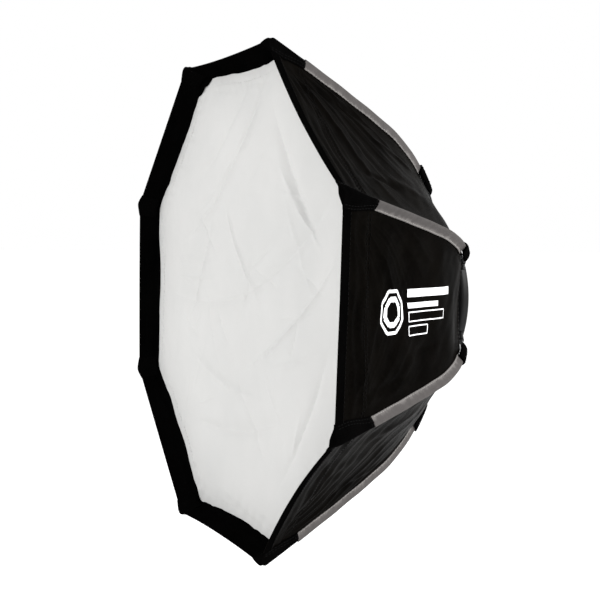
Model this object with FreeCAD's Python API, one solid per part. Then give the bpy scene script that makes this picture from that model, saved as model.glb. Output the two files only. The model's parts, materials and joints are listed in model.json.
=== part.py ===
import FreeCAD, Part
import math
import os

# Octabox: an eight-rib folding light modifier on a bayonet speed ring.
# Millimetres. The origin is the centre of the rear mount, on the seating face of its
# flange. +Y runs to the rear, towards the lamp head, +Z is up, and the front faces -Y.

# ---- driving dimensions ----
rib_count = 8
half_pitch = 180.0 / rib_count          # from a rib to the middle of its panel, degrees

# hub ring and its pivots
flange_thickness = 3.0
ring_thickness = 12.0
ring_outer_radius = 97.0
ring_bore_radius = 60.0
ring_edge_radius = 4.5
pivot_radius = 93.0
pivot_behind_ring_front = 7.5
pin_radius = 2.0
pin_length = 22.0
pin_clearance = 0.05
notch_width = 9.0
notch_depth = 4.5                       # from the pivot inwards to the notch's stop face

# bayonet insert
insert_bore_radius = 45.0
spigot_depth = 6.0
flange_radius = 70.0
collar_radius = 48.5
collar_length = 14.0
lug_radius = 54.0
lug_thickness = 4.0
lug_angle = 36.0
lug_count = 3
screw_count = 4
screw_circle_radius = 65.0
screw_radius = 2.0
screw_head_radius = 3.6
screw_head_height = 2.4
screw_length = 13.0

# rib: a straight hub end, a tight bow and a long slack bow, from the pivot to the lip
rod_radius = 1.75
straight_length = 22.0
hub_end_angle = 60.1                    # from the axis, degrees
tight_bow_radius = 235.0
tight_bow_end_angle = 29.3
slack_bow_radius = 2205.0
slack_bow_length = 164.2

# rod socket
eye_radius = 4.2
eye_width = 8.0
ferrule_radius = 2.9
ferrule_length = 20.0
rod_inset = 8.0                         # from the pivot to the end of the rod in the ferrule
stop_gap = 0.1

# sewn cover over each rod
cover_half_width = 5.5
cover_half_height = 2.4
cover_bore_clearance = 0.15
rear_hem_station = 43.0                 # distance along the rib from the pivot
rear_cap_length = 31.0
pocket_length = 47.0
rod_end_margin = 4.0
seam_gap = 0.1

# side panels
fabric_thickness = 1.2
fabric_below_rod = 2.6
panel_edge_from_rib = 6.3
fold_gap = 0.15                         # half of the slit between the halves of one panel
panel_stations = 11

# front diffuser
diffuser_corner_radius = 260.0
diffuser_depth = 21.0                   # behind the lip
diffuser_thickness = 1.0

ring_rear = -flange_thickness
ring_front = ring_rear - ring_thickness
pivot_y = ring_front + pivot_behind_ring_front

tight_bow_length = math.radians(hub_end_angle - tight_bow_end_angle) * tight_bow_radius
rib_length = straight_length + tight_bow_length + slack_bow_length
lip_station = rib_length


# ---- the rib's curve, in its own plane: X away from the axis, Y along it ----
def heading(station):
    """Angle from the -Y direction at a distance along the rib, in radians."""
    start = math.radians(hub_end_angle)
    if station <= straight_length:
        return start
    bow = station - straight_length
    if bow <= tight_bow_length:
        return start - bow / tight_bow_radius
    slack = bow - tight_bow_length
    return math.radians(tight_bow_end_angle) - slack / slack_bow_radius


def arc_step(point, angle, radius, length):
    """The point after following an arc that turns towards -Y."""
    end_angle = angle - length / radius
    x = point[0] + radius * (math.cos(end_angle) - math.cos(angle))
    y = point[1] + radius * (math.sin(end_angle) - math.sin(angle))
    return (x, y)


def rib_point(station, lift=0.0):
    """A point on the rib's curve, moved outwards from it by lift."""
    straight = min(station, straight_length)
    tight = min(max(station - straight_length, 0.0), tight_bow_length)
    slack = max(station - straight_length - tight_bow_length, 0.0)
    start = math.radians(hub_end_angle)
    x = pivot_radius + straight * math.sin(start)
    y = pivot_y - straight * math.cos(start)
    x, y = arc_step((x, y), start, tight_bow_radius, tight)
    x, y = arc_step((x, y), math.radians(tight_bow_end_angle), slack_bow_radius, slack)
    angle = heading(station)
    return FreeCAD.Vector(x + lift * math.cos(angle), y + lift * math.sin(angle), 0)


def rib_edges(start, end, lift):
    """The rib's curve between two stations, as a line and arcs."""
    breaks = [straight_length, straight_length + tight_bow_length]
    stations = [start] + [b for b in breaks if start < b < end] + [end]
    edges = []
    for a, b in zip(stations, stations[1:]):
        first = rib_point(a, lift)
        last = rib_point(b, lift)
        if b <= straight_length:
            edges.append(Part.LineSegment(first, last).toShape())
        else:
            middle = rib_point((a + b) / 2, lift)
            edges.append(Part.Arc(first, middle, last).toShape())
    return edges


def rib_rod(start, end, radius):
    """A round bar along the rib's curve."""
    path = Part.Wire(rib_edges(start, end, 0.0))
    angle = heading(start)
    direction = FreeCAD.Vector(math.sin(angle), -math.cos(angle), 0)
    section = Part.Wire(Part.makeCircle(radius, rib_point(start), direction))
    return path.makePipeShell([section], True, False)


def rib_strip(start, end, half_width, half_height):
    """A flat strip along the rib's curve, across the rib's plane."""
    outer = rib_edges(start, end, half_height)
    inner = rib_edges(start, end, -half_height)
    near = Part.LineSegment(rib_point(start, half_height), rib_point(start, -half_height)).toShape()
    far = Part.LineSegment(rib_point(end, half_height), rib_point(end, -half_height)).toShape()
    face = Part.Face(Part.Wire(Part.__sortEdges__(outer + inner + [near, far])))
    strip = face.extrude(FreeCAD.Vector(0, 0, 2 * half_width))
    strip.translate(FreeCAD.Vector(0, 0, -half_width))
    return strip


# ---- placing: everything is drawn at angle 0 and turned about the Y axis ----
def turned(shape, degrees):
    """A copy turned about the axis, from +X towards +Z."""
    copy = shape.copy()
    copy.rotate(FreeCAD.Vector(0, 0, 0), FreeCAD.Vector(0, 1, 0), -degrees)
    return copy


def mirrored(shape):
    """The mirror image across the plane Z = 0."""
    return shape.mirror(FreeCAD.Vector(0, 0, 0), FreeCAD.Vector(0, 0, 1))


def rib_angle(number):
    return half_pitch * (2 * number - 1)


def panel_angle(number):
    return half_pitch * 2 * number


def disc(radius, y_from, y_to):
    """A cylinder about the Y axis."""
    return Part.makeCylinder(
        radius, y_to - y_from, FreeCAD.Vector(0, y_from, 0), FreeCAD.Vector(0, 1, 0)
    )


# ---- hub ----
def hub_ring():
    ring = disc(ring_outer_radius, ring_front, ring_rear)
    ring = ring.makeFillet(ring_edge_radius, ring.Edges)
    ring = ring.cut(disc(ring_bore_radius, ring_front - 1, ring_rear + 1))
    stop_face = pivot_radius - notch_depth
    notch = Part.makeBox(
        ring_outer_radius, ring_thickness + 2, notch_width,
        FreeCAD.Vector(stop_face, ring_front - 1, -notch_width / 2),
    )
    pin_hole = Part.makeCylinder(
        pin_radius, pin_length,
        FreeCAD.Vector(pivot_radius, pivot_y, -pin_length / 2), FreeCAD.Vector(0, 0, 1),
    )
    cuts = []
    for number in range(1, rib_count + 1):
        cuts.append(turned(notch, rib_angle(number)))
        cuts.append(turned(pin_hole, rib_angle(number)))
    screw_hole = disc(screw_radius, ring_front - 1, ring_rear + 1)
    cuts += on_screw_circle(screw_hole)
    return ring.cut(cuts)


def on_screw_circle(shape):
    """Copies of a shape drawn about the Y axis, moved out to the four screws."""
    moved = shape.copy()
    moved.translate(FreeCAD.Vector(screw_circle_radius, 0, 0))
    step = 360.0 / screw_count
    return [turned(moved, step * index) for index in range(screw_count)]


def mount_insert():
    body = disc(flange_radius, ring_rear, 0)
    body = body.fuse(disc(ring_bore_radius - pin_clearance, ring_rear - spigot_depth, ring_rear))
    body = body.fuse(disc(collar_radius, 0, collar_length))
    lug = Part.makeCylinder(
        lug_radius, lug_thickness, FreeCAD.Vector(0, collar_length - lug_thickness, 0),
        FreeCAD.Vector(0, 1, 0), lug_angle,
    )
    for index in range(lug_count):
        body = body.fuse(turned(lug, 360.0 / lug_count * index))
    body = body.cut(disc(insert_bore_radius, ring_rear - spigot_depth - 1, collar_length + 1))
    body = body.cut(on_screw_circle(disc(screw_radius, ring_rear - 1, 1)))
    return body.removeSplitter()


def pivot_pins():
    pin = Part.makeCylinder(
        pin_radius - pin_clearance, pin_length - 2 * pin_clearance,
        FreeCAD.Vector(pivot_radius, pivot_y, -pin_length / 2 + pin_clearance),
        FreeCAD.Vector(0, 0, 1),
    )
    return Part.makeCompound([turned(pin, rib_angle(n)) for n in range(1, rib_count + 1)])


def hub_screws():
    head = disc(screw_head_radius, 0, screw_head_height)
    shank = disc(screw_radius - pin_clearance, -screw_length, 0)
    recess = disc(screw_radius * 0.6, screw_head_height / 2, screw_head_height + 1)
    screw = head.fuse(shank).cut(recess)
    return Part.makeCompound(on_screw_circle(screw))


# ---- one rib, drawn in the plane Z = 0 ----
def rib_rod_node():
    rod_end = lip_station - rod_end_margin
    rod = rib_rod(rod_inset, rod_end, rod_radius)
    return rod.fuse(Part.makeSphere(rod_radius, rib_point(rod_end)))


def rib_socket():
    pivot = rib_point(0)
    angle = heading(0)
    direction = FreeCAD.Vector(math.sin(angle), -math.cos(angle), 0)
    across = FreeCAD.Vector(0, 0, 1)
    eye = Part.makeCylinder(
        eye_radius, eye_width, pivot - across * (eye_width / 2), across
    )
    ferrule = Part.makeCylinder(ferrule_radius, ferrule_length, pivot, direction)
    heel_reach = notch_depth - stop_gap
    heel = Part.makeBox(
        heel_reach, eye_radius * 0.8, eye_width,
        FreeCAD.Vector(pivot.x - heel_reach, pivot.y, -eye_width / 2),
    )
    socket = eye.fuse([ferrule, heel])
    rod_bore = Part.makeCylinder(
        rod_radius + pin_clearance, ferrule_length, pivot + direction * rod_inset, direction
    )
    pin_bore = Part.makeCylinder(
        pin_radius, eye_width + 2, pivot - across * (eye_width / 2 + 1), across
    )
    return socket.cut([rod_bore, pin_bore]).removeSplitter()


def rib_cover():
    """Rear cap, sleeve and front pocket, sewn end to end over the rod."""
    cap_end = rear_hem_station + rear_cap_length
    pocket_start = lip_station - pocket_length
    spans = [
        (rear_hem_station, cap_end - seam_gap),
        (cap_end + seam_gap, pocket_start - seam_gap),
        (pocket_start + seam_gap, lip_station),
    ]
    bore_end = lip_station - rod_end_margin + rod_radius + 0.5
    bore = rib_rod(rear_hem_station - 5, bore_end, rod_radius + cover_bore_clearance)
    solids = []
    for start, end in spans:
        strip = rib_strip(start, end, cover_half_width, cover_half_height)
        solids += strip.cut(bore).Solids
    return Part.makeCompound(solids)


# ---- fabric, drawn about the middle plane of one panel: X outwards, Z along its chord ----
def panel_curve(lift):
    """The panel's section as one smooth curve from the rear hem to the lip."""
    shrink = math.cos(math.radians(half_pitch))
    step = (lip_station - rear_hem_station) / (panel_stations - 1)
    points = []
    for index in range(panel_stations):
        point = rib_point(rear_hem_station + step * index, lift)
        points.append(FreeCAD.Vector(point.x * shrink, point.y, 0))
    curve = Part.BSplineCurve()
    curve.interpolate(points)
    return curve.toShape(), points[0], points[-1]


def wedge(edge_from_rib, reach, y_from, y_to):
    """The space of half a panel: from its middle plane to just short of its first rib."""
    angle = math.radians(half_pitch)
    along = FreeCAD.Vector(math.cos(angle), 0, -math.sin(angle))
    off = FreeCAD.Vector(math.sin(angle), 0, math.cos(angle)) * edge_from_rib
    apex_run = (off.z + fold_gap) / math.sin(angle)
    apex = off + along * apex_run
    far = off + along * reach
    corner = FreeCAD.Vector(reach * math.cos(angle), 0, -fold_gap)
    base = FreeCAD.Vector(0, y_from, 0)
    outline = Part.makePolygon([base + apex, base + far, base + corner, base + apex])
    return Part.Face(outline).extrude(FreeCAD.Vector(0, y_to - y_from, 0))


def half_panel():
    outer, outer_start, outer_end = panel_curve(-fabric_below_rod)
    inner, inner_start, inner_end = panel_curve(-fabric_below_rod - fabric_thickness)
    ends = [
        Part.LineSegment(outer_start, inner_start).toShape(),
        Part.LineSegment(outer_end, inner_end).toShape(),
    ]
    face = Part.Face(Part.Wire(Part.__sortEdges__([outer, inner] + ends)))
    chord = rib_point(lip_station).x
    sheet = face.extrude(FreeCAD.Vector(0, 0, -chord))
    reach = 2 * chord
    space = wedge(panel_edge_from_rib, reach, -reach, ring_rear)
    return sheet.common(space)


def half_diffuser():
    """One of the sixteen triangles that the front sheet folds into."""
    angle = math.radians(half_pitch)
    y_front = rib_point(lip_station).y + diffuser_depth
    edge = diffuser_corner_radius * math.cos(angle)
    space = wedge(fold_gap, 2 * diffuser_corner_radius, y_front, y_front + diffuser_thickness)
    size = 2 * diffuser_corner_radius
    square = Part.makeBox(
        size, size, size, FreeCAD.Vector(edge - size, y_front - size / 2, -size / 2)
    )
    return space.common(square)


# ---- nodes ----
nodes = {
    "hub_ring": hub_ring(),
    "mount_insert": mount_insert(),
    "pivot_pins": pivot_pins(),
    "hub_screws": hub_screws(),
}
rod = rib_rod_node()
socket = rib_socket()
cover = rib_cover()
panel = half_panel()
diffuser = half_diffuser()
for number in range(1, rib_count + 1):
    nodes[f"rib_rod_{number}"] = turned(rod, rib_angle(number))
    nodes[f"rib_socket_{number}"] = turned(socket, rib_angle(number))
    nodes[f"rib_cover_{number}"] = turned(cover, rib_angle(number))
    nodes[f"side_panel_{number}_a"] = turned(panel, panel_angle(number))
    nodes[f"side_panel_{number}_b"] = turned(mirrored(panel), panel_angle(number))
    nodes[f"diffuser_{number}_a"] = turned(diffuser, panel_angle(number))
    nodes[f"diffuser_{number}_b"] = turned(mirrored(diffuser), panel_angle(number))

os.makedirs("parts", exist_ok=True)
for name, shape in nodes.items():
    shape.exportStep(f"parts/{name}.step")
solid_count = sum(len(shape.Solids) for shape in nodes.values())
all_valid = all(shape.isValid() for shape in nodes.values())
print(f"{len(nodes)} nodes, {solid_count} solids, all valid: {all_valid}")
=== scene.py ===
import json
import math

import bpy
import numpy as np
from mathutils import Matrix, Vector


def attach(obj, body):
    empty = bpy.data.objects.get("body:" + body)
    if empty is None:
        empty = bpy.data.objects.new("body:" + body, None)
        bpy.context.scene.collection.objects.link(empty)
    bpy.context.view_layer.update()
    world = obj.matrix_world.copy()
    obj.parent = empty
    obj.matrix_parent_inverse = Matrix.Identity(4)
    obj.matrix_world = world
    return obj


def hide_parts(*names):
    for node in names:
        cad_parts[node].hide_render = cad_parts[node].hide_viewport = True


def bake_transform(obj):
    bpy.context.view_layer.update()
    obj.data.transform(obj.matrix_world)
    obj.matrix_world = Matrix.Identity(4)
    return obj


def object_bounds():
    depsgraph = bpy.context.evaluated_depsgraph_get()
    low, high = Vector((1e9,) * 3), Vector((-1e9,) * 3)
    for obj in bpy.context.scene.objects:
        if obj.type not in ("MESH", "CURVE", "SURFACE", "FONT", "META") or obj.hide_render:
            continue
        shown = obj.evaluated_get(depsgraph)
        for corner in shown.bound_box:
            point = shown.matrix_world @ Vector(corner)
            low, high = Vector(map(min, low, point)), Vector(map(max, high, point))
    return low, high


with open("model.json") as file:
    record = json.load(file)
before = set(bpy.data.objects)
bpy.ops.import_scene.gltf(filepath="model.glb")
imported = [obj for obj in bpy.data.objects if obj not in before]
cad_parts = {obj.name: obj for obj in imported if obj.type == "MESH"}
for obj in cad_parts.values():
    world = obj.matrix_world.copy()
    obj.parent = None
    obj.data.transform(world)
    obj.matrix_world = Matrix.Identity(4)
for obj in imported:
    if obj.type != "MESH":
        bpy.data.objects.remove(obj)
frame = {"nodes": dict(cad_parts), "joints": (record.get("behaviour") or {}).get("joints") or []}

# Octabox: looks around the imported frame. Metres, in the CAD frame: the front faces -Y,
# +Y is the mount axis and +Z is up. Ribs are numbered anticlockwise as seen from the front,
# and panel N lies between rib N and the next.
cad_low, cad_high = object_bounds()

RIBS = 8
HALF_PITCH = math.pi / RIBS

# ---- the rib's curve, as in the CAD: a straight hub end, a tight bow and a slack bow ----
fold_joint = next(j for j in frame["joints"] if j["name"] == "rib_fold_1")
PIVOT_RADIUS = math.hypot(fold_joint["pos_m"][0], fold_joint["pos_m"][2])
PIVOT_Y = fold_joint["pos_m"][1]
STRAIGHT = 0.022
HUB_END_ANGLE = math.radians(60.1)
TIGHT_END_ANGLE = math.radians(29.3)
TIGHT_RADIUS = 0.235
TIGHT_LENGTH = (HUB_END_ANGLE - TIGHT_END_ANGLE) * TIGHT_RADIUS
SLACK_RADIUS = 2.205
SLACK_LENGTH = 0.1642

# ---- where things lie along a rib, as distances from its pivot, and how deep the sheet sits ----
LIP = STRAIGHT + TIGHT_LENGTH + SLACK_LENGTH
HEM = 0.043
CAP_END = HEM + 0.031
POCKET = 0.047
FABRIC_LIFT = -0.0026
DIFFUSER_DEPTH = 0.021


def rib_curve(station):
    """Radius, y and heading of the rib's centreline at distances from the pivot."""
    station = np.asarray(station, float)
    straight = np.minimum(station, STRAIGHT)
    tight = np.clip(station - STRAIGHT, 0, TIGHT_LENGTH)
    slack = np.maximum(station - STRAIGHT - TIGHT_LENGTH, 0)
    bowed = HUB_END_ANGLE - tight / TIGHT_RADIUS
    heading = bowed - slack / SLACK_RADIUS
    radius = (PIVOT_RADIUS + straight * math.sin(HUB_END_ANGLE)
              + TIGHT_RADIUS * (np.cos(bowed) - math.cos(HUB_END_ANGLE))
              + SLACK_RADIUS * (np.cos(heading) - np.cos(bowed)))
    y = (PIVOT_Y - straight * math.cos(HUB_END_ANGLE)
         + TIGHT_RADIUS * (np.sin(bowed) - math.sin(HUB_END_ANGLE))
         + SLACK_RADIUS * (np.sin(heading) - np.sin(bowed)))
    return radius, y, heading


def half_chord(station):
    """Half the width of a panel between its ribs, at distances from the pivot."""
    radius, _, heading = rib_curve(station)
    return (radius + FABRIC_LIFT * np.cos(heading)) * math.sin(HALF_PITCH)


def rib_angle(number):
    return HALF_PITCH * (2 * number - 1)


def panel_angle(number):
    return HALF_PITCH * 2 * number


def holding_rib(number, half):
    """The rib that one half of a panel hangs on."""
    return number if half == "a" else number % RIBS + 1


def around(angle, out, across, y):
    """Row-frame points from distances out along an angle, across it, and along the axis."""
    c, s = math.cos(angle), math.sin(angle)
    return np.stack([out * c - across * s, y + 0 * out, out * s + across * c], axis=-1)


def smooth(low, high, x):
    t = np.clip((x - low) / (high - low), 0, 1)
    return t * t * (3 - 2 * t)


def ripple(x, y, wavelength, seed, waves=7):
    """Smooth random relief between about -1 and 1."""
    own = np.random.default_rng(seed)
    total = 0
    for _ in range(waves):
        angle = own.uniform(0, math.pi)
        size = own.uniform(0.7, 1.4) * 2 * math.pi / wavelength
        total = total + np.sin((x * math.cos(angle) + y * math.sin(angle)) * size
                               + own.uniform(0, 2 * math.pi))
    return total / math.sqrt(waves) / 1.2


# ---- meshes ----
def grid_normals(points):
    """Unit normals of a grid of points, rows by columns."""
    down = np.gradient(points, axis=0)
    along = np.gradient(points, axis=1)
    n = np.cross(along, down)
    return n / np.maximum(np.linalg.norm(n, axis=-1, keepdims=True), 1e-12)


def facing(points, normals, away_from):
    """The normals, turned so that they point away from a point."""
    outward = ((points - np.array(away_from)) * normals).sum(-1).mean()
    return normals if outward > 0 else -normals


def make_object(name, vertices, faces, materials, face_materials=None, normals=None, cloth=None):
    """A smooth mesh; cloth holds each point's coordinates along the material, in metres."""
    mesh = bpy.data.meshes.new(name)
    mesh.from_pydata([tuple(v) for v in vertices], [], [tuple(int(i) for i in f) for f in faces])
    for material in materials:
        mesh.materials.append(material)
    if face_materials is not None:
        mesh.polygons.foreach_set("material_index", np.asarray(face_materials, np.int32))
    if cloth is not None:
        attribute = mesh.attributes.new("cloth", "FLOAT_VECTOR", "POINT")
        attribute.data.foreach_set("vector", np.asarray(cloth, np.float32).ravel())
    mesh.polygons.foreach_set("use_smooth", np.ones(len(mesh.polygons), bool))
    mesh.update()
    if normals is not None:
        mesh.normals_split_custom_set_from_vertices([tuple(n) for n in normals])
    obj = bpy.data.objects.new(name, mesh)
    bpy.context.scene.collection.objects.link(obj)
    return obj


def shell(name, points, normals, thickness, materials, cloth, inner_index=0, custom=False):
    """A closed thin sheet: the given grid is its outer face, and the inner face lies behind it."""
    rows, cols = points.shape[:2]
    thickness = np.broadcast_to(thickness, points.shape[:2])[..., None]
    inner = points - normals * thickness
    index = np.arange(rows * cols).reshape(rows, cols)
    quads = np.stack([index[:-1, :-1], index[:-1, 1:], index[1:, 1:], index[1:, :-1]], -1).reshape(-1, 4)
    a, b, c = (points.reshape(-1, 3)[quads[:, i]] for i in (0, 1, 2))
    flip = (np.cross(b - a, c - b) * normals.reshape(-1, 3)[quads[:, 0]]).sum() < 0
    if flip:
        quads = quads[:, ::-1]
    back = quads[:, ::-1] + rows * cols
    border = np.concatenate([index[0, :], index[1:, -1], index[-1, -2::-1], index[-2:0:-1, 0]])
    following = np.roll(border, -1)
    rim = np.stack([following, border, border + rows * cols, following + rows * cols], -1)
    if flip:
        rim = rim[:, ::-1]
    faces = np.concatenate([quads, back, rim])
    inner_index = np.broadcast_to(inner_index, (rows - 1, cols - 1)).ravel()
    kinds = np.concatenate([np.zeros(len(quads)), inner_index, np.zeros(len(rim))])
    both = np.concatenate([points.reshape(-1, 3), inner.reshape(-1, 3)])
    cloth = np.concatenate([cloth.reshape(-1, 3)] * 2)
    both_normals = None
    if custom:
        both_normals = np.concatenate([normals.reshape(-1, 3), -normals.reshape(-1, 3)])
    return make_object(name, both, faces, materials, kinds, both_normals, cloth)


def stitch_row(name, path, normals, material, length=0.0030, gap=0.0012, radius=0.00030):
    """A row of thread stitches along a path, each a short rounded bar lying on the cloth."""
    steps = np.linalg.norm(np.diff(path, axis=0), axis=1)
    along = np.concatenate([[0], np.cumsum(steps)])
    starts = np.arange(gap, along[-1] - length, length + gap)
    sides = 6
    turn = np.arange(sides) * 2 * math.pi / sides
    vertices = []
    faces = []
    shape = [(0.0, 0.35, -0.4), (0.18, 1.0, 0.25), (0.5, 1.1, 0.55), (0.82, 1.0, 0.25), (1.0, 0.35, -0.4)]
    for start in starts:
        base = len(vertices)
        for share, width, rise in shape:
            at = start + share * length
            point = np.array([np.interp(at, along, path[:, k]) for k in range(3)])
            normal = np.array([np.interp(at, along, normals[:, k]) for k in range(3)])
            ahead = np.array([np.interp(at + 0.0005, along, path[:, k]) for k in range(3)]) - point
            ahead /= max(np.linalg.norm(ahead), 1e-9)
            side = np.cross(ahead, normal)
            side /= max(np.linalg.norm(side), 1e-9)
            centre = point + normal * radius * rise
            for angle in turn:
                spoke = side * math.cos(angle) + normal * math.sin(angle)
                vertices.append(centre + radius * width * spoke)
        for ring in range(len(shape) - 1):
            for k in range(sides):
                a = base + ring * sides + k
                b = base + ring * sides + (k + 1) % sides
                faces.append((a, b, b + sides, a + sides))
        faces.append(tuple(base + k for k in range(sides))[::-1])
        faces.append(tuple(base + (len(shape) - 1) * sides + k for k in range(sides)))
    return make_object(name, vertices, faces, [material])


def joined(parts, name):
    """One object from several meshes with the same materials."""
    vertices = []
    faces = []
    for part in parts:
        base = len(vertices)
        vertices += [v.co[:] for v in part.data.vertices]
        faces += [tuple(base + i for i in p.vertices) for p in part.data.polygons]
    materials = list(parts[0].data.materials)
    for part in parts:
        mesh = part.data
        bpy.data.objects.remove(part)
        bpy.data.meshes.remove(mesh)
    return make_object(name, vertices, faces, materials)


# ---- materials ----
def new_material(name, colour, roughness, **sockets):
    material = bpy.data.materials.new(name)
    material.use_nodes = True
    shader = material.node_tree.nodes["Principled BSDF"]
    shader.inputs["Base Color"].default_value = (*colour, 1)
    shader.inputs["Roughness"].default_value = roughness
    for socket, value in sockets.items():
        shader.inputs[socket.replace("_", " ")].default_value = value
    return material, material.node_tree, shader


def add(tree, kind, inputs=None, **settings):
    made = tree.nodes.new(kind)
    for key, value in settings.items():
        setattr(made, key, value)
    for key, value in (inputs or {}).items():
        if isinstance(value, bpy.types.NodeSocket):
            tree.links.new(value, made.inputs[key])
        else:
            made.inputs[key].default_value = value
    return made


def place(tree, on_cloth):
    """Coordinates in metres: along the cloth, or in the object's own frame."""
    if on_cloth:
        return add(tree, "ShaderNodeAttribute", attribute_name="cloth").outputs["Vector"]
    return add(tree, "ShaderNodeTexCoord").outputs["Object"]


def noise(tree, where, size, detail=3.0, roughness=0.55):
    made = add(tree, "ShaderNodeTexNoise",
               {"Vector": where, "Scale": 1 / size, "Detail": detail, "Roughness": roughness})
    return made.outputs["Fac"]


def threads(tree, where, pitch, direction):
    """Bands of one thread pitch, in metres."""
    made = add(tree, "ShaderNodeTexWave",
               {"Vector": where, "Scale": math.pi / 10 / pitch, "Distortion": 0.6, "Detail": 1.0,
                "Detail Scale": 0.6},
               wave_type="BANDS", bands_direction=direction, wave_profile="SIN")
    return made.outputs["Fac"]


def math_node(tree, operation, a, b=0.0, c=0.0):
    made = add(tree, "ShaderNodeMath", {0: a, 1: b, 2: c}, operation=operation)
    return made.outputs[0]


def bumps(tree, shader, layers):
    """Bump from (height socket, depth in metres, strength) layers, one after the other."""
    normal = None
    for height, depth, strength in layers:
        inputs = {"Height": height, "Distance": depth, "Strength": strength}
        if normal is not None:
            inputs["Normal"] = normal
        normal = add(tree, "ShaderNodeBump", inputs).outputs["Normal"]
    tree.links.new(normal, shader.inputs["Normal"])


def ramp(tree, factor, stops):
    made = add(tree, "ShaderNodeValToRGB", {"Fac": factor})
    elements = made.color_ramp.elements
    while len(elements) < len(stops):
        elements.new(0.5)
    for element, (position, colour) in zip(elements, stops):
        element.position = position
        element.color = (*colour, 1)
    return made.outputs["Color"]


def cloth_material(name, dark, light, roughness, pitch, weave_depth, crumple=0.0004, **sockets):
    """Woven cloth: two thread directions, patchy colour, and a fine crumple."""
    material, tree, shader = new_material(name, light, roughness, **sockets)
    where = place(tree, True)
    patches = noise(tree, where, 0.045, 4.0)
    fine = noise(tree, where, 0.0035, 2.0)
    warp = threads(tree, where, pitch, "X")
    weft = threads(tree, where, pitch * 1.07, "Y")
    weave = math_node(tree, "MULTIPLY", warp, weft)
    mix = math_node(tree, "MULTIPLY_ADD", fine, 0.35, patches)
    mixed = math_node(tree, "MULTIPLY_ADD", weave, 0.25, mix)
    tree.links.new(ramp(tree, mixed, [(0.45, dark), (0.95, light)]),
                   shader.inputs["Base Color"])
    varied = math_node(tree, "MULTIPLY_ADD", patches, 0.14, roughness - 0.07)
    tree.links.new(varied, shader.inputs["Roughness"])
    bumps(tree, shader, [
        (noise(tree, where, 0.020, 3.0), crumple, 0.5),
        (weave, weave_depth, 0.5),
        (fine, weave_depth * 0.8, 0.4),
    ])
    return material


def silver_material():
    """Crinkled reflective coating on the inside of the panels."""
    material, tree, shader = new_material("silver_lining", (0.62, 0.62, 0.63), 0.38, Metallic=0.85)
    where = place(tree, True)
    cells = add(tree, "ShaderNodeTexVoronoi", {"Vector": where, "Scale": 260.0}).outputs["Distance"]
    tone = noise(tree, where, 0.03, 4.0)
    tree.links.new(ramp(tree, tone, [(0.3, (0.52, 0.52, 0.53)), (0.7, (0.70, 0.70, 0.71))]),
                   shader.inputs["Base Color"])
    bumps(tree, shader, [(cells, 0.0006, 0.5), (noise(tree, where, 0.012), 0.0006, 0.5)])
    return material


def diffuser_material():
    """White diffusion cloth with a faint ripstop grid."""
    material, tree, shader = new_material("diffusion_cloth", (0.51, 0.51, 0.50), 0.72)
    shader.inputs["Subsurface Weight"].default_value = 0.15
    shader.inputs["Subsurface Radius"].default_value = (0.004, 0.004, 0.004)
    shader.inputs["Subsurface Scale"].default_value = 1.0
    shader.inputs["Specular IOR Level"].default_value = 0.25
    where = place(tree, True)
    patches = noise(tree, where, 0.10, 4.0)
    tree.links.new(ramp(tree, patches, [(0.3, (0.495, 0.495, 0.486)), (0.7, (0.525, 0.522, 0.512))]),
                   shader.inputs["Base Color"])
    warp = threads(tree, where, 0.0012, "X")
    weft = threads(tree, where, 0.0012, "Y")
    weave = math_node(tree, "MULTIPLY", warp, weft)
    bumps(tree, shader, [
        (noise(tree, where, 0.030, 3.0), 0.0007, 0.5),
        (weave, 0.00008, 0.5),
        (noise(tree, where, 0.004, 2.0), 0.00010, 0.4),
    ])
    return material


def sleeve_material():
    """Warm grey woven tape with a ribbed face; its colour is darker along the middle and paler towards
    both edges, painted shade and painted highlights of a rounded tube.
    """
    material, tree, shader = new_material("grey_tape", (0.11, 0.10, 0.10), 0.62)
    shader.inputs["Specular IOR Level"].default_value = 0.06
    where = place(tree, True)
    across = add(tree, "ShaderNodeSeparateXYZ", {"Vector": where}).outputs["X"]
    distance = math_node(tree, "ABSOLUTE", across)
    edge = math_node(tree, "MULTIPLY_ADD", distance, 1 / 0.0060, noise(tree, where, 0.006, 3.0))
    # colour by distance from the middle: painted shade along the middle and painted highlights along both
    # edges
    tree.links.new(ramp(tree, math_node(tree, "MULTIPLY", edge, 0.66),
                        [(0.30, (0.056, 0.052, 0.050)), (0.72, (0.074, 0.068, 0.066)),
                         (0.90, (0.130, 0.122, 0.117))]),
                   shader.inputs["Base Color"])
    ribs = threads(tree, where, 0.0011, "Y")
    twill = threads(tree, where, 0.0013, "DIAGONAL")
    bumps(tree, shader, [
        (noise(tree, where, 0.009, 3.0), 0.0005, 0.5),
        (ribs, 0.00016, 0.6),
        (twill, 0.00010, 0.4),
    ])
    return material


def hard_material(name, dark, light, roughness, grain, depth, **sockets):
    """Moulded or machined stuff: fine grain, patchy gloss, and colour that is paler on sharp edges, a
    painted highlight along them.
    """
    material, tree, shader = new_material(name, light, roughness, **sockets)
    where = place(tree, False)
    tone = noise(tree, where, 0.02, 5.0)
    # pointiness makes the colour paler on sharp convex edges: a painted highlight, mixed with random tone
    edges = add(tree, "ShaderNodeNewGeometry").outputs["Pointiness"]
    varied = math_node(tree, "MULTIPLY_ADD", edges, 0.8, math_node(tree, "MULTIPLY_ADD", tone, 0.6, -0.2))
    tree.links.new(ramp(tree, varied, [(0.35, dark), (0.65, light)]), shader.inputs["Base Color"])
    tree.links.new(math_node(tree, "MULTIPLY_ADD", tone, 0.2, roughness - 0.1), shader.inputs["Roughness"])
    bumps(tree, shader, [(noise(tree, where, grain, 3.0), depth, 0.6), (tone, depth * 2, 0.3)])
    return material


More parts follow.
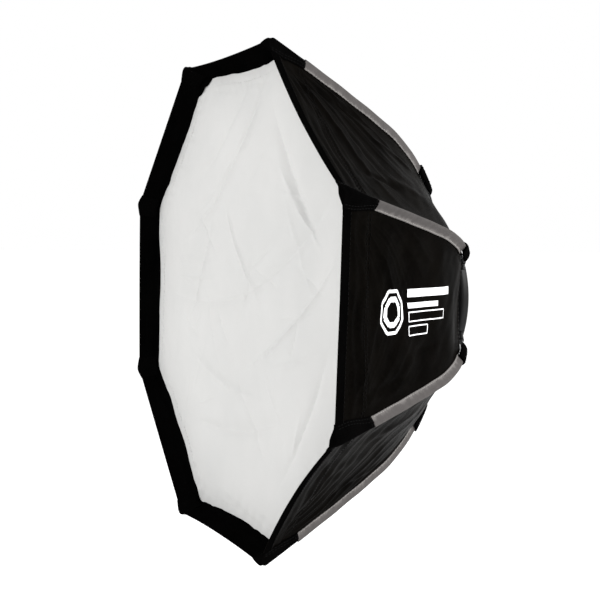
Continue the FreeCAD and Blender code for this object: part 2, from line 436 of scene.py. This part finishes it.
NYLON = cloth_material("black_nylon", (0.0008, 0.0007, 0.0006), (0.0026, 0.0022, 0.0018),
                       0.33, 0.0011, 0.00010, Specular_IOR_Level=0.0017)
LIP_CLOTH = cloth_material("black_lip_cloth", (0.0005, 0.0005, 0.0005), (0.0013, 0.0012, 0.0012),
                           0.75, 0.0013, 0.00012, Specular_IOR_Level=0.0001)
WEBBING = cloth_material("black_webbing", (0.0006, 0.0006, 0.0006), (0.0016, 0.0015, 0.0015),
                         0.65, 0.0018, 0.00030, Specular_IOR_Level=0.0003)
SILVER = silver_material()
DIFFUSION = diffuser_material()
TAPE = sleeve_material()
THREAD_GREY = hard_material("grey_thread", (0.22, 0.21, 0.20), (0.30, 0.29, 0.28), 0.7, 0.0006, 0.00005,
                            Specular_IOR_Level=0.15)
THREAD_BLACK = hard_material("black_thread", (0.0015, 0.0015, 0.0015), (0.0045, 0.0043, 0.0042),
                             0.6, 0.0006, 0.00005, Specular_IOR_Level=0.03)
THREAD_WHITE = hard_material("white_thread", (0.47, 0.47, 0.46), (0.53, 0.53, 0.52), 0.7, 0.0006, 0.00005,
                             Specular_IOR_Level=0.15)
PRINT = hard_material("white_print", (0.78, 0.78, 0.78), (0.90, 0.90, 0.90), 0.55, 0.0008, 0.00004)
RING_PLASTIC = hard_material("moulded_nylon", (0.0035, 0.0035, 0.0036), (0.0090, 0.0090, 0.0094),
                             0.50, 0.0009, 0.00006, Specular_IOR_Level=0.12)
SOCKET_PLASTIC = hard_material("socket_nylon", (0.0030, 0.0030, 0.0032), (0.0080, 0.0080, 0.0084),
                               0.50, 0.0007, 0.00005, Specular_IOR_Level=0.15)
ROD_STEEL = hard_material("coated_rod", (0.008, 0.008, 0.009), (0.024, 0.024, 0.026),
                          0.30, 0.0012, 0.00002, Metallic=0.35)
INSERT_METAL = hard_material("bead_blasted_aluminium", (0.46, 0.46, 0.47), (0.66, 0.66, 0.67),
                             0.34, 0.0005, 0.00002, Metallic=1.0)
PIN_STEEL = hard_material("bright_pin_steel", (0.50, 0.50, 0.51), (0.66, 0.66, 0.66),
                          0.25, 0.0006, 0.00001, Metallic=1.0)
SCREW_STEEL = hard_material("black_oxide_steel", (0.020, 0.020, 0.022), (0.055, 0.055, 0.058),
                            0.35, 0.0006, 0.00002, Metallic=0.9)


# ---- side panels ----
# distances behind the lip: the stitched band, the front strip of lip cloth, the silver lining's edge
LIP_BAND = 0.040
LIP_FACE = 0.0115
LINING_START = DIFFUSER_DEPTH + 0.020
# thickness of the cloth, and of the fold that a hem adds on the outside and in all
CLOTH = 0.0005
HEM_RISE = 0.0006
HEM_FOLD = 0.0008
FRONT_CHORD = float(half_chord(LIP))
PANEL_COLS = 129
PANEL_ROWS = 141
# how strongly tension folds fan out of the front corners of each panel: (first rib, second rib)
CORNER_PULL = {1: (0.25, 1.0), 2: (0.6, 0.5), 3: (0.5, 0.8), 4: (0.4, 0.5),
               5: (0.7, 0.5), 6: (0.5, 0.6), 7: (1.0, 0.25), 8: (0.45, 0.60)}
# how far the slack lip bows in between the ribs, at its middle
LIP_BOW = {1: 0.0045, 2: 0.0028, 3: 0.0020, 4: 0.0020, 5: 0.0025, 6: 0.0045, 7: 0.0055, 8: -0.0015}
# how far the lip stands in front of its usual line at each rib
LIP_MARGIN = {1: -0.0003, 2: 0.0, 3: 0.0, 4: 0.0005, 5: 0.0, 6: 0.0010, 7: 0.0015, 8: 0.0065}


def lip_station(number, share):
    """Where a panel's front edge lies: share is -1 at its first rib and 1 at the next."""
    first, second = LIP_MARGIN[number], LIP_MARGIN[number % RIBS + 1]
    return LIP + first * (1 - share) / 2 + second * (1 + share) / 2


def fan(x, q, corner_x, side, strength, seed):
    """Folds that radiate from a front corner: q is the distance behind the lip."""
    own = np.random.default_rng(seed)
    dx = (x - corner_x) * side
    reach = np.hypot(dx, q)
    angle = np.arctan2(dx, np.maximum(q, 1e-5)) + 0.10 * np.sin(reach * 2 * math.pi / 0.23)
    swell = smooth(0.010, 0.075, reach) * smooth(0.250, 0.110, reach)
    total = 0
    for count, height in ((13, 0.0016), (29, 0.0011), (47, 0.0007)):
        phase = count * angle + own.uniform(0, 2 * math.pi)
        total = total + height * (np.exp(2.2 * (np.cos(phase) - 1)) - 0.30)
    return strength * swell * total * smooth(0.08, 0.30, angle) * smooth(1.50, 1.25, angle)


def creep(q, share, seed):
    """Shallow folds that run front to back beside the ribs."""
    own = np.random.default_rng(seed)
    total = 0
    for _ in range(9):
        centre = own.choice([-1, 1]) * own.uniform(0.35, 0.90)
        middle = own.uniform(0.05, 0.17)
        length = own.uniform(0.020, 0.050)
        width = own.uniform(0.035, 0.075)
        tilt = own.uniform(-0.9, 0.9)
        off = (share - centre - tilt * (q - middle)) / width
        total = total + own.uniform(-1, 1) * np.exp(-off ** 2) * np.exp(-((q - middle) / length) ** 4)
    return 0.0016 * total


def relief(number, x, q, share):
    """How far the cloth of a panel stands out from a straight-ruled one, in metres."""
    first, second = CORNER_PULL[number]
    inside = 1 - share ** 2
    edge = smooth(0.006, 0.020, (1 - np.abs(share)) * half_chord(LIP - q))
    front = smooth(0.150, 0.015, q)
    rear = smooth(0.20, 0.27, q)
    sag = -inside * (0.0010 + LIP_BOW[number] * front + 0.0020 * rear)
    slack = 0.10 + 0.90 * smooth(0.002, 0.034, q)
    folds = fan(x, q, -FRONT_CHORD, 1, first, 10 * number)
    folds = folds + fan(x, q, FRONT_CHORD, -1, second, 10 * number + 1)
    wobble = 0.004 * ripple(x, q, 0.09, 10 * number + 2)
    band = smooth(0.010, 0.016, q) * smooth(LIP_BAND, LIP_BAND - 0.008, q)
    hanging = 0.0006 * band * np.cos((q + wobble) * 2 * math.pi / 0.0150 + 0.7 * number)
    seam = -0.0007 * np.exp(-((q - LIP_BAND) / 0.0016) ** 2)
    loose = 0.0010 * ripple(x, q * 1.3, 0.085, 10 * number + 3)
    fine = 0.00022 * ripple(x, q, 0.024, 10 * number + 4)
    pinches = creep(q, share, 10 * number + 5)
    return sag + edge * (slack * (folds + loose + fine + pinches) + hanging + seam)


def panel_surface(number, share, station, extra=0.0):
    """Points of a panel: share is -1 at its first rib and 1 at the next."""
    radius, y, heading = rib_curve(station)
    corner = radius + FABRIC_LIFT * np.cos(heading)
    y = y + FABRIC_LIFT * np.sin(heading)
    x = share * corner * math.sin(HALF_PITCH)
    out = relief(number, x, LIP - station, share) + extra
    return around(panel_angle(number), corner * math.cos(HALF_PITCH) + out * np.cos(heading), x,
                  y + out * np.sin(heading)), x


def hem_station(share):
    return HEM + 0.006 * (1 - share ** 2)


# ---- baking the cut pieces in place ----
# the lean of the direction away from a rib along the axis, as a share of the distance from the lip;
# fold_along works it out but does not use it
FOLD_LEAN = 0.15


def fold_along(piece, number, half):
    """Bakes the placement of a piece of one half panel into its mesh; the direction away from its rib is
    worked out but not used.
    """
    rib = holding_rib(number, half)
    side = 1 if half == "a" else -1
    angle = rib_angle(rib)
    away = Vector((-math.sin(angle), 0, math.cos(angle))) * side + Vector((0, -FOLD_LEAN, 0))
    away /= away.length_squared
    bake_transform(piece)


def fold_gore(piece):
    """Bakes the placement of a piece of one gore into its mesh."""
    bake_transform(piece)


def half_columns(half, cols):
    """The columns of a panel's grid that make up one half; both halves hold the middle one."""
    return slice(0, cols // 2 + 1) if half == "a" else slice(cols // 2, cols)


def side_panel(number):
    """The cloth between two ribs, from the rear hem to the lip, cut in halves at its pleat line."""
    share = np.linspace(-1, 1, PANEL_COLS)[None, :]
    v = np.linspace(0, 1, PANEL_ROWS)[:, None]
    station = hem_station(share) + v * (lip_station(number, share) - hem_station(share))
    share = np.broadcast_to(share, station.shape)
    points, x = panel_surface(number, share, station)
    normals = facing(points, grid_normals(points), (0, points[..., 1].mean(), 0))
    q = lip_station(number, share) - station
    cloth = np.stack([x, q, np.full_like(x, 0.1 * number)], -1)
    hemmed = np.maximum(smooth(0.012, 0.009, q), smooth(0.010, 0.007, station - hem_station(share)))
    thickness = CLOTH + HEM_FOLD * hemmed
    points = points + normals * (HEM_RISE * hemmed)[..., None]
    lined = np.where(q < LINING_START, 1, 2)[:-1, :-1]
    for half in "ab":
        cut = half_columns(half, PANEL_COLS)
        faces = slice(0, PANEL_COLS // 2) if half == "a" else slice(PANEL_COLS // 2, PANEL_COLS - 1)
        piece = shell(f"side_cloth_{number}_{half}", points[:, cut], normals[:, cut], thickness[:, cut],
                      [NYLON, LIP_CLOTH, SILVER], cloth[:, cut], lined[:, faces], custom=True)
        front = (q < LIP_FACE)[:-1, faces]
        index = np.zeros(len(piece.data.polygons), np.int32)
        piece.data.polygons.foreach_get("material_index", index)
        index[: front.size] = np.where(front.ravel(), 1, 0)
        piece.data.polygons.foreach_set("material_index", index)
        fold_along(piece, number, half)
        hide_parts(f"side_panel_{number}_{half}")


def panel_seams(number):
    """Stitching: two rows behind the lip, one round the lip's hem, and one at the rear hem."""
    for half in "ab":
        parts = []
        share = np.linspace(-0.93, 0.0, 90) if half == "a" else np.linspace(0.0, 0.93, 90)
        lip = lip_station(number, share)
        rows = [
            (lip - 0.0100, 0.0008),
            (lip - (LIP_BAND - 0.0025), 0.0001),
            (lip - (LIP_BAND + 0.0025), 0.0001),
            (hem_station(share) + 0.0075, 0.0008),
        ]
        for row, (station, lift) in enumerate(rows):
            path, _ = panel_surface(number, share, station, lift)
            behind, _ = panel_surface(number, share, station - 0.002, lift)
            normals = np.cross(np.gradient(path, axis=0), behind - path)
            normals /= np.linalg.norm(normals, axis=1, keepdims=True)
            normals = facing(path, normals, (0, path[:, 1].mean(), 0))
            parts.append(stitch_row(f"seam_{number}_{half}_{row}", path, normals, THREAD_BLACK))
        piece = joined(parts, f"panel_stitching_{number}_{half}")
        fold_along(piece, number, half)


# generic mark on the panel that faces the side: an octagon in a ring, and plain bars
MARK_PANEL = 8
MARK_LIFT = 0.00025


def flat_strip(path, width, number):
    """Grid of points for a flat band along a path of (across, behind the lip) pairs on a panel."""
    ahead = np.gradient(path, axis=0)
    ahead /= np.linalg.norm(ahead, axis=1, keepdims=True)
    side = np.stack([-ahead[:, 1], ahead[:, 0]], -1)
    offsets = np.linspace(-0.5, 0.5, 4)[None, :, None] * width
    grid = path[:, None] + side[:, None] * offsets
    across, behind = grid[..., 0], grid[..., 1]
    station = LIP - behind
    points, _ = panel_surface(number, across / half_chord(station), station, MARK_LIFT)
    return points


def mark_paths():
    """Bands of the mark, as (path, width), each on one side of the pleat line."""
    bands = []
    centre = 0.080
    for size, width in ((0.0205, 0.0030), (0.0125, 0.0050)):
        corners = [(size * math.cos(a), centre + size * math.sin(a))
                   for a in (HALF_PITCH * (2 * k + 1) for k in range(-4, 5))]
        for first, second in zip(corners[:-1], corners[1:]):
            edge = np.linspace(first, second, 12)
            bands.append((edge, width))
    for across, start, end, width in ((0.0160, 0.110, 0.196, 0.0075), (0.0045, 0.110, 0.168, 0.0050)):
        bands.append((np.linspace((across, start), (across, end), 26), width))
    for across, start, end, width in ((-0.0060, 0.110, 0.182, 0.0085), (-0.0190, 0.110, 0.148, 0.0085)):
        low, high = across - width / 2, across + width / 2
        for a, b in (((low, start), (low, end)), ((high, start), (high, end)),
                     ((low, start), (high, start)), ((low, end), (high, end))):
            bands.append((np.linspace(a, b, 24), 0.0011))
    return bands


def cut_at_pleat(path):
    """A path's parts on either side of the pleat line, keyed by half."""
    parts = {}
    for half, sign in (("a", -1), ("b", 1)):
        inside = path[:, 0] * sign >= 0
        if not inside.any():
            continue
        part = path[inside]
        crossing = np.nonzero(inside[:-1] != inside[1:])[0]
        for k in crossing:
            share = path[k, 0] / (path[k, 0] - path[k + 1, 0])
            meeting = path[k] + share * (path[k + 1] - path[k])
            part = np.vstack([part, meeting]) if inside[k] else np.vstack([meeting, part])
        if len(part) > 1:
            parts[half] = part
    return parts


def printed_mark(number):
    """The bands of the mark as flat ink, cut where the panel pleats."""
    vertices = {"a": [], "b": []}
    faces = {"a": [], "b": []}
    for path, width in mark_paths():
        for half, part in cut_at_pleat(path).items():
            grid = flat_strip(part, width, number)
            rows, cols = grid.shape[:2]
            base = len(vertices[half])
            vertices[half] += list(grid.reshape(-1, 3))
            index = base + np.arange(rows * cols).reshape(rows, cols)
            quads = np.stack([index[:-1, :-1], index[:-1, 1:], index[1:, 1:], index[1:, :-1]], -1)
            faces[half] += [tuple(q) for q in quads.reshape(-1, 4)]
    for half in "ab":
        piece = make_object(f"printed_mark_{number}_{half}", vertices[half], faces[half], [PRINT])
        fold_along(piece, number, half)


# ---- front diffuser ----
DIFFUSER_COLS = 73
DIFFUSER_ROWS = 84
HEM_WIDTH = 0.0095
# the sheet's rim lies this far inside the panels' outer face
RIM_INSET = 0.0013
DIFFUSER_STATION = LIP - DIFFUSER_DEPTH / math.cos(float(rib_curve(LIP)[2]))
DIFFUSER_Y = float(rib_curve(DIFFUSER_STATION)[1])


# long creases of the sheet: middle x and z, direction in degrees, half length, width, height
CREASES = [
    (-0.015, 0.145, 41, 0.125, 0.0050, 0.0016),
    (-0.035, 0.180, 37, 0.075, 0.0040, -0.0008),
    (0.110, 0.120, -55, 0.070, 0.0070, -0.0019),
    (0.125, 0.090, -44, 0.050, 0.0035, 0.0011),
    (-0.010, 0.045, -51, 0.055, 0.0028, 0.0010),
    (0.020, 0.010, 17, 0.185, 0.0085, -0.0017),
    (0.110, -0.025, 32, 0.100, 0.0030, 0.0010),
    (-0.010, -0.145, 8, 0.100, 0.0085, -0.0020),
    (-0.045, -0.095, -11, 0.075, 0.0060, 0.0012),
    (0.150, -0.110, 58, 0.070, 0.0045, -0.0010),
    (-0.110, 0.020, 64, 0.060, 0.0035, 0.0009),
]
FAINT_CREASES = 26
CREASE_GAIN = 2.1


def faint_creases(count):
    """Short random creases, in the same form as the long ones."""
    own = np.random.default_rng(7)
    made = []
    for _ in range(count):
        x, z, degrees = own.uniform(-0.16, 0.16), own.uniform(-0.18, 0.18), own.uniform(-80, 80)
        length, width = own.uniform(0.02, 0.05), own.uniform(0.002, 0.004)
        made.append((x, z, degrees, length, width, own.choice([-1, 1]) * own.uniform(0.0002, 0.0005)))
    return made


ALL_CREASES = CREASES + faint_creases(FAINT_CREASES)


def diffuser_relief(x, z, border):
    """How far the sheet stands forward: slack, long soft creases and a sewn hem."""
    radius = np.hypot(x, z)
    slack = -0.0045 * np.cos(np.clip(radius / 0.25, 0, 1) * math.pi / 2)
    creases = 0
    for middle_x, middle_z, degrees, length, width, height in ALL_CREASES:
        c, s = math.cos(math.radians(degrees)), math.sin(math.radians(degrees))
        along = (x - middle_x) * c + (z - middle_z) * s
        off = -(x - middle_x) * s + (z - middle_z) * c - 1.1 * along ** 2
        profile = np.exp(-np.abs(off / width) ** 1.3) * np.exp(-(along / length) ** 4)
        creases = creases + CREASE_GAIN * height * profile
    broad = 0.0016 * ripple(x, z * 0.6, 0.17, 71)
    fine = 0.00022 * ripple(x, z, 0.035, 72)
    free = smooth(0.0, 0.050, border)
    hem = 0.0005 * smooth(HEM_WIDTH + 0.0008, HEM_WIDTH - 0.0008, border)
    groove = -0.0004 * np.exp(-((border - HEM_WIDTH) / 0.0012) ** 2)
    beside_hem = smooth(0.001, 0.006, border) * smooth(0.030, 0.012, border)
    puckers = 0.0004 * beside_hem * ripple(x, z, 0.014, 73)
    return slack + free * (creases + broad + fine) + hem + groove + puckers


def diffuser_rim(number, cols):
    """The line on which a panel holds the sheet."""
    share = np.linspace(-1, 1, cols)
    station = np.full(cols, DIFFUSER_STATION)
    for _ in range(6):
        rim, _ = panel_surface(number, share, station, -RIM_INSET)
        station = station + (rim[:, 1] - DIFFUSER_Y) / np.cos(rib_curve(station)[2])
    return rim[:, [0, 2]]


def diffuser_points(rho, rim):
    """Points of the sheet: rho is 0 at the middle and 1 on the rim."""
    x = rho * rim[:, 0]
    z = rho * rim[:, 1]
    border = (1 - rho) * np.hypot(rim[:, 0], rim[:, 1]) * math.cos(HALF_PITCH / 2)
    forward = diffuser_relief(x, z, border)
    step = 0.0004
    slope_x = (diffuser_relief(x + step, z, border) - diffuser_relief(x - step, z, border)) / (2 * step)
    slope_z = (diffuser_relief(x, z + step, border) - diffuser_relief(x, z - step, border)) / (2 * step)
    normals = np.stack([-slope_x, -np.ones_like(x), -slope_z], -1)
    normals /= np.linalg.norm(normals, axis=-1, keepdims=True)
    cloth = np.stack([x, z, border], -1)
    return np.stack([x, DIFFUSER_Y - forward, z], -1), normals, cloth


def diffuser():
    """One sheet, made in the sixteen gores that it folds into."""
    rho = np.linspace(0, 1, DIFFUSER_ROWS)[:, None] ** 0.9
    rho[0] = 0.0015
    for number in range(1, RIBS + 1):
        rim = diffuser_rim(number, DIFFUSER_COLS)
        points, normals, cloth = diffuser_points(rho, rim)
        for half in "ab":
            cut = half_columns(half, DIFFUSER_COLS)
            piece = shell(f"diffuser_cloth_{number}_{half}", points[:, cut], normals[:, cut], CLOTH,
                          [DIFFUSION], cloth[:, cut], custom=True)
            fold_gore(piece)
            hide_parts(f"diffuser_{number}_{half}")
            rim_half = rim[cut]
            share = 1 - HEM_WIDTH / (np.linalg.norm(rim_half, axis=1) * math.cos(HALF_PITCH / 2))
            path, raised, _ = diffuser_points(share, rim_half)
            thread = stitch_row(f"diffuser_stitching_{number}_{half}", path[1:-1], raised[1:-1],
                                THREAD_WHITE, length=0.0034, gap=0.0014, radius=0.00030)
            fold_gore(thread)


# ---- what is sewn over each rod ----
ROOF_SOFTNESS = 0.0012


def roof(across):
    """The fall of the two panels away from their corner, towards the axis."""
    return -math.tan(HALF_PITCH) * (np.sqrt(across ** 2 + ROOF_SOFTNESS ** 2) - ROOF_SOFTNESS)


def rib_surface(number, station, across, lift):
    """Points near a rib: across is sideways, lift is outwards from the rod's centreline."""
    radius, y, heading = rib_curve(station)
    return around(rib_angle(number), radius + roof(across) + lift * np.cos(heading), across,
                  y + lift * np.sin(heading))


def rib_strip(name, number, stations, half_widths, lift_of, thickness, material, cols=25):
    """A sewn strip along a rib: lift_of(number, across, station) gives its outer face."""
    share = np.linspace(-1, 1, cols)[None, :]
    stations = stations[:, None]
    across = share * half_widths[:, None]
    station = np.broadcast_to(stations, across.shape)
    points = rib_surface(number, station, across, lift_of(number, across, station))
    normals = facing(points, grid_normals(points), (0, points[..., 1].mean(), 0))
    cloth = np.stack([across, station, np.full_like(across, 0.07 * number)], -1)
    piece = shell(name, points, normals, thickness, [material], cloth)
    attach(piece, f"rib_{number}")
    return piece


SLEEVE_HALF = 0.0062
SLEEVE_RIDGE = 0.0046


def cloth_lift(number, across, station):
    """Height of the panels' outer face beside a rib, measured like the sewn strips' lift."""
    widest = half_chord(station)
    inset = widest - np.abs(across) / math.cos(HALF_PITCH)
    behind = LIP - station
    first = relief(number, -inset, behind, -inset / widest)
    second = relief((number - 2) % RIBS + 1, inset, behind, inset / widest)
    out = np.where(across >= 0, first, second)
    return FABRIC_LIFT + out / math.cos(HALF_PITCH)


def sleeve_lift(number, across, station):
    ridge = np.cos(np.clip(np.abs(across) / SLEEVE_RIDGE, 0, 1) * math.pi / 2) ** 1.3
    margin = smooth(0.6, 0.9, np.abs(across) / SLEEVE_HALF)
    pucker = 0.00016 * np.sin(station * 2 * math.pi / 0.0052) * margin
    waves = 0.00016 * ripple(station, across * 0.4, 0.040, 91)
    return cloth_lift(number, across, station) + 0.0007 + 0.0056 * ridge + pucker + waves


def rib_sleeve(number):
    """The grey tape sewn over a rod, with a row of stitches along each edge."""
    start, end = CAP_END - 0.001, LIP - POCKET + 0.001
    stations = np.linspace(start, end, 150)
    piece = rib_strip(f"rib_sleeve_{number}", number, stations, np.full(150, SLEEVE_HALF), sleeve_lift,
                      0.0006, TAPE)
    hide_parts(f"rib_cover_{number}")
    parts = []
    for side in (-1, 1):
        stations = np.linspace(start + 0.002, end - 0.002, 160)
        across = np.full(160, side * (SLEEVE_HALF - 0.0010))
        parts.append(thread_on_rib(number, stations, across, sleeve_lift, THREAD_GREY,
                                   length=0.0026, gap=0.0010, radius=0.00032))
    thread = joined(parts, f"sleeve_stitching_{number}")
    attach(thread, f"rib_{number}")


POCKET_NARROW = 0.0064
POCKET_WIDE = 0.0132
POCKET_WRAP = 0.0225
POCKET_COLS = 41


def pocket_end(number):
    return LIP + LIP_MARGIN[number]


def pocket_half_width(station):
    widening = smooth(LIP - POCKET - 0.004, LIP - 0.004, station)
    return POCKET_NARROW + (POCKET_WIDE - POCKET_NARROW) * widening


def pocket_lift(number, across, station):
    share = np.clip(np.abs(across) / (pocket_half_width(station) - 0.0002), 0, 1)
    bulge = np.cos(share * math.pi / 2) ** 1.5
    tight = 0.45 + 0.55 * smooth(0.0, 0.0045, pocket_end(number) - station)
    waves = 0.00020 * ripple(station, across, 0.022, 97)
    return cloth_lift(number, across, station) + 0.0006 + 0.0048 * bulge * tight + waves


def corner_pocket(number):
    """The reinforced corner: a patch over the rod's end that wraps round the lip to its inside."""
    end = pocket_end(number)
    stations = np.linspace(LIP - POCKET, end, 44)
    middle_col = POCKET_COLS // 2
    share = np.linspace(-1, 1, POCKET_COLS)[None, :]
    across = share * pocket_half_width(stations)[:, None]
    station = np.broadcast_to(stations[:, None], across.shape)
    outside = rib_surface(number, station, across, pocket_lift(number, across, station))
    edge_across = across[-1]
    at_lip = np.full(POCKET_COLS, end)
    top = pocket_lift(number, edge_across, at_lip)
    flat = cloth_lift(number, edge_across, at_lip)
    fall = roof(edge_across)
    level = (flat[0] + fall[0] + flat[-1] + fall[-1]) / 2 + 0.0022
    under = np.minimum(flat, level - fall) - 0.0016
    turns = np.linspace(0, math.pi, 11)[1:]
    middle, half = (top + under) / 2, (top - under) / 2
    forward = 0.0003 + 0.0019 * np.cos(share[0] * math.pi / 2)
    wrapped = [rib_surface(number, end + forward * np.sin(turn), edge_across, middle + half * np.cos(turn))
               for turn in turns]
    inside = [rib_surface(number, at_lip - step, edge_across * (1 - 6 * step), under)
              for step in np.linspace(0, POCKET_WRAP, 12)[1:]]
    points = np.concatenate([outside, np.array(wrapped), np.array(inside)])
    normals = grid_normals(points)
    on_top = points[5, middle_col]
    if (normals[5, middle_col] * (on_top - np.array([0, on_top[1], 0]))).sum() < 0:
        normals = -normals
    steps = np.linalg.norm(np.diff(points[:, middle_col], axis=0), axis=1)
    along = np.concatenate([[0], np.cumsum(steps)])
    cloth = np.stack([np.broadcast_to(edge_across, points.shape[:2]),
                      np.broadcast_to(along[:, None], points.shape[:2]),
                      np.full(points.shape[:2], 0.05 * number)], -1)
    piece = shell(f"corner_pocket_{number}", points, normals, 0.0007, [WEBBING], cloth)
    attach(piece, f"rib_{number}")
    parts = []
    for side in (-1, 1):
        for inset in (0.0012, 0.0032):
            across = side * (pocket_half_width(stations) - inset)
            parts.append(thread_on_rib(number, stations, across, pocket_lift, THREAD_BLACK))
    for offset in (0.0015, 0.0040):
        across = np.linspace(-0.0056, 0.0056, 30)
        row = np.full(30, LIP - POCKET + offset)
        parts.append(thread_on_rib(number, row, across, pocket_lift, THREAD_BLACK))
    thread = joined(parts, f"pocket_stitching_{number}")
    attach(thread, f"rib_{number}")


# a black patch lies this far in front of each corner of the sheet, and reaches this far along its edges
PATCH_GAP = 0.0013
CORNER_PATCH = {1: 0.012, 2: 0.006, 3: 0.026, 4: 0.010, 5: 0.008, 6: 0.008, 7: 0.007, 8: 0.014}


def corner_patch(number):
    """A small rounded web of lip cloth across an inside corner, just in front of the sheet."""
    reach = CORNER_PATCH[number]
    corner = float(diffuser_rim(number, 3)[0] @ (math.cos(rib_angle(number)), math.sin(rib_angle(number))))
    slope = math.pi / 2 + HALF_PITCH
    v = np.linspace(0, 1, 7)[:, None]
    turn = np.linspace(-1, 1, 17)[None, :]
    edge = reach * (0.42 + 0.58 * np.abs(turn) ** 1.7)
    bearing = turn * (math.pi - slope)
    inwards = v * edge * np.cos(bearing) + 0 * turn
    across = v * edge * np.sin(bearing)
    level = DIFFUSER_Y - PATCH_GAP - 0.0004 * v + 0 * turn
    points = around(rib_angle(number), corner + 0.0012 - inwards, across, level)
    normals = np.zeros_like(points)
    normals[..., 1] = -1
    cloth = np.stack([across, inwards, np.full_like(across, 0.03 * number)], -1)
    piece = shell(f"corner_patch_{number}", points, normals, 0.0005, [LIP_CLOTH], cloth)
    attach(piece, f"rib_{number}")


def thread_on_rib(number, stations, across, lift_of, material, **sizes):
    """Stitches on a strip that lies along a rib."""
    lift = lift_of(number, across, stations)
    path = rib_surface(number, stations, across, lift)
    raised = rib_surface(number, stations, across, lift + 0.001)
    return stitch_row("thread", path, (raised - path) / 0.001, material, **sizes)


def cap_lift(number, across, station):
    ridge = 0.0068 * np.cos(np.clip(np.abs(across) / 0.0074, 0, 1) * math.pi / 2) ** 0.5
    return cloth_lift(number, across, station) + 0.0016 + ridge


def rear_cap(number):
    """The folded webbing that closes the rear end of the sleeve."""
    stations = np.linspace(HEM - 0.002, CAP_END, 44)
    widths = 0.0070 + 0.0002 * np.sin(stations * 400)
    piece = rib_strip(f"rear_cap_{number}", number, stations, widths, cap_lift, 0.0014, WEBBING)
    parts = []
    for row in (HEM + 0.003, HEM + 0.008, CAP_END - 0.003, CAP_END - 0.008):
        across = np.linspace(-0.0058, 0.0058, 24)
        parts.append(thread_on_rib(number, np.full(24, row), across, cap_lift, THREAD_BLACK))
    thread = joined(parts, f"cap_stitching_{number}")
    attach(thread, f"rib_{number}")


# ---- the frame's own nodes get finished materials ----
def dress(node, material):
    """Gives one of the frame's own meshes its finished material."""
    mesh = frame["nodes"][node].data
    mesh.materials.clear()
    mesh.materials.append(material)


def dress_frame():
    dress("hub_ring", RING_PLASTIC)
    dress("mount_insert", INSERT_METAL)
    dress("pivot_pins", PIN_STEEL)
    dress("hub_screws", SCREW_STEEL)
    for number in range(1, RIBS + 1):
        dress(f"rib_rod_{number}", ROD_STEEL)
        dress(f"rib_socket_{number}", SOCKET_PLASTIC)


# ---- stage, light and camera ----
FLOOR_SIZE = 60.0
FLOOR_GAP = 0.25
# area lamps: name, place from the object's middle, diameter, watts
LAMPS = [
    ("key", (-1.1, -2.6, 1.0), 1.4, 30.0),
    ("side", (1.9, 1.7, 1.3), 0.7, 95.0),
    ("low", (1.7, 0.5, -1.7), 0.9, 8.0),
]


def stage_and_light():
    floor_material, tree, shader = new_material("floor_paper", (0.80, 0.80, 0.80), 0.9)
    tone = noise(tree, place(tree, False), 0.8, 3.0)
    tree.links.new(ramp(tree, tone, [(0.2, (0.79, 0.79, 0.79)), (0.8, (0.82, 0.82, 0.82))]),
                   shader.inputs["Base Color"])
    shader.inputs["Emission Color"].default_value = (1, 1, 1, 1)
    shader.inputs["Emission Strength"].default_value = 0.25
    half = FLOOR_SIZE / 2
    level = cad_low.z - FLOOR_GAP
    corners = [(-half, -half, level), (half, -half, level), (half, half, level), (-half, half, level)]
    floor = make_object("floor", corners, [(0, 1, 2, 3)], [floor_material])

    world = bpy.data.worlds.new("studio")
    world.use_nodes = True
    bpy.context.scene.world = world
    background = world.node_tree.nodes["Background"]
    background.inputs["Color"].default_value = (1, 1, 1, 1)
    background.inputs["Strength"].default_value = 1.0

    centre = (cad_low + cad_high) / 2
    for name, offset, size, power in LAMPS:
        data = bpy.data.lights.new(name, "AREA")
        data.shape = "DISK"
        data.size = size
        data.energy = power
        lamp = bpy.data.objects.new(name, data)
        bpy.context.scene.collection.objects.link(lamp)
        lamp.location = centre + Vector(offset)
        lamp.rotation_mode = "QUATERNION"
        lamp.rotation_quaternion = (-Vector(offset)).to_track_quat("-Z", "Y")
    bpy.context.scene.view_settings.view_transform = "Standard"


def front_side_camera():
    azimuth, elevation, roll = math.radians(61.945), math.radians(3.533), math.radians(0.848)
    distance = 1.13
    target = Vector((0.0214, -0.1712, -0.0013))
    back = Vector((math.sin(azimuth) * math.cos(elevation), -math.cos(azimuth) * math.cos(elevation),
                   math.sin(elevation)))
    level_right = Vector((math.cos(azimuth), math.sin(azimuth), 0))
    level_up = back.cross(level_right)
    right = level_right * math.cos(roll) + level_up * math.sin(roll)
    up = back.cross(right)
    data = bpy.data.cameras.new("camera")
    data.lens = 63.455
    data.sensor_width = 36.0
    camera = bpy.data.objects.new("camera", data)
    bpy.context.scene.collection.objects.link(camera)
    turn = Matrix((right, up, back)).transposed().to_4x4()
    camera.matrix_world = Matrix.Translation(target + back * distance) @ turn
    bpy.context.scene.camera = camera


front_side_camera()
stage_and_light()
dress_frame()
for number in range(1, RIBS + 1):
    side_panel(number)
    panel_seams(number)
    rib_sleeve(number)
    corner_pocket(number)
    corner_patch(number)
    rear_cap(number)
printed_mark(MARK_PANEL)
diffuser()
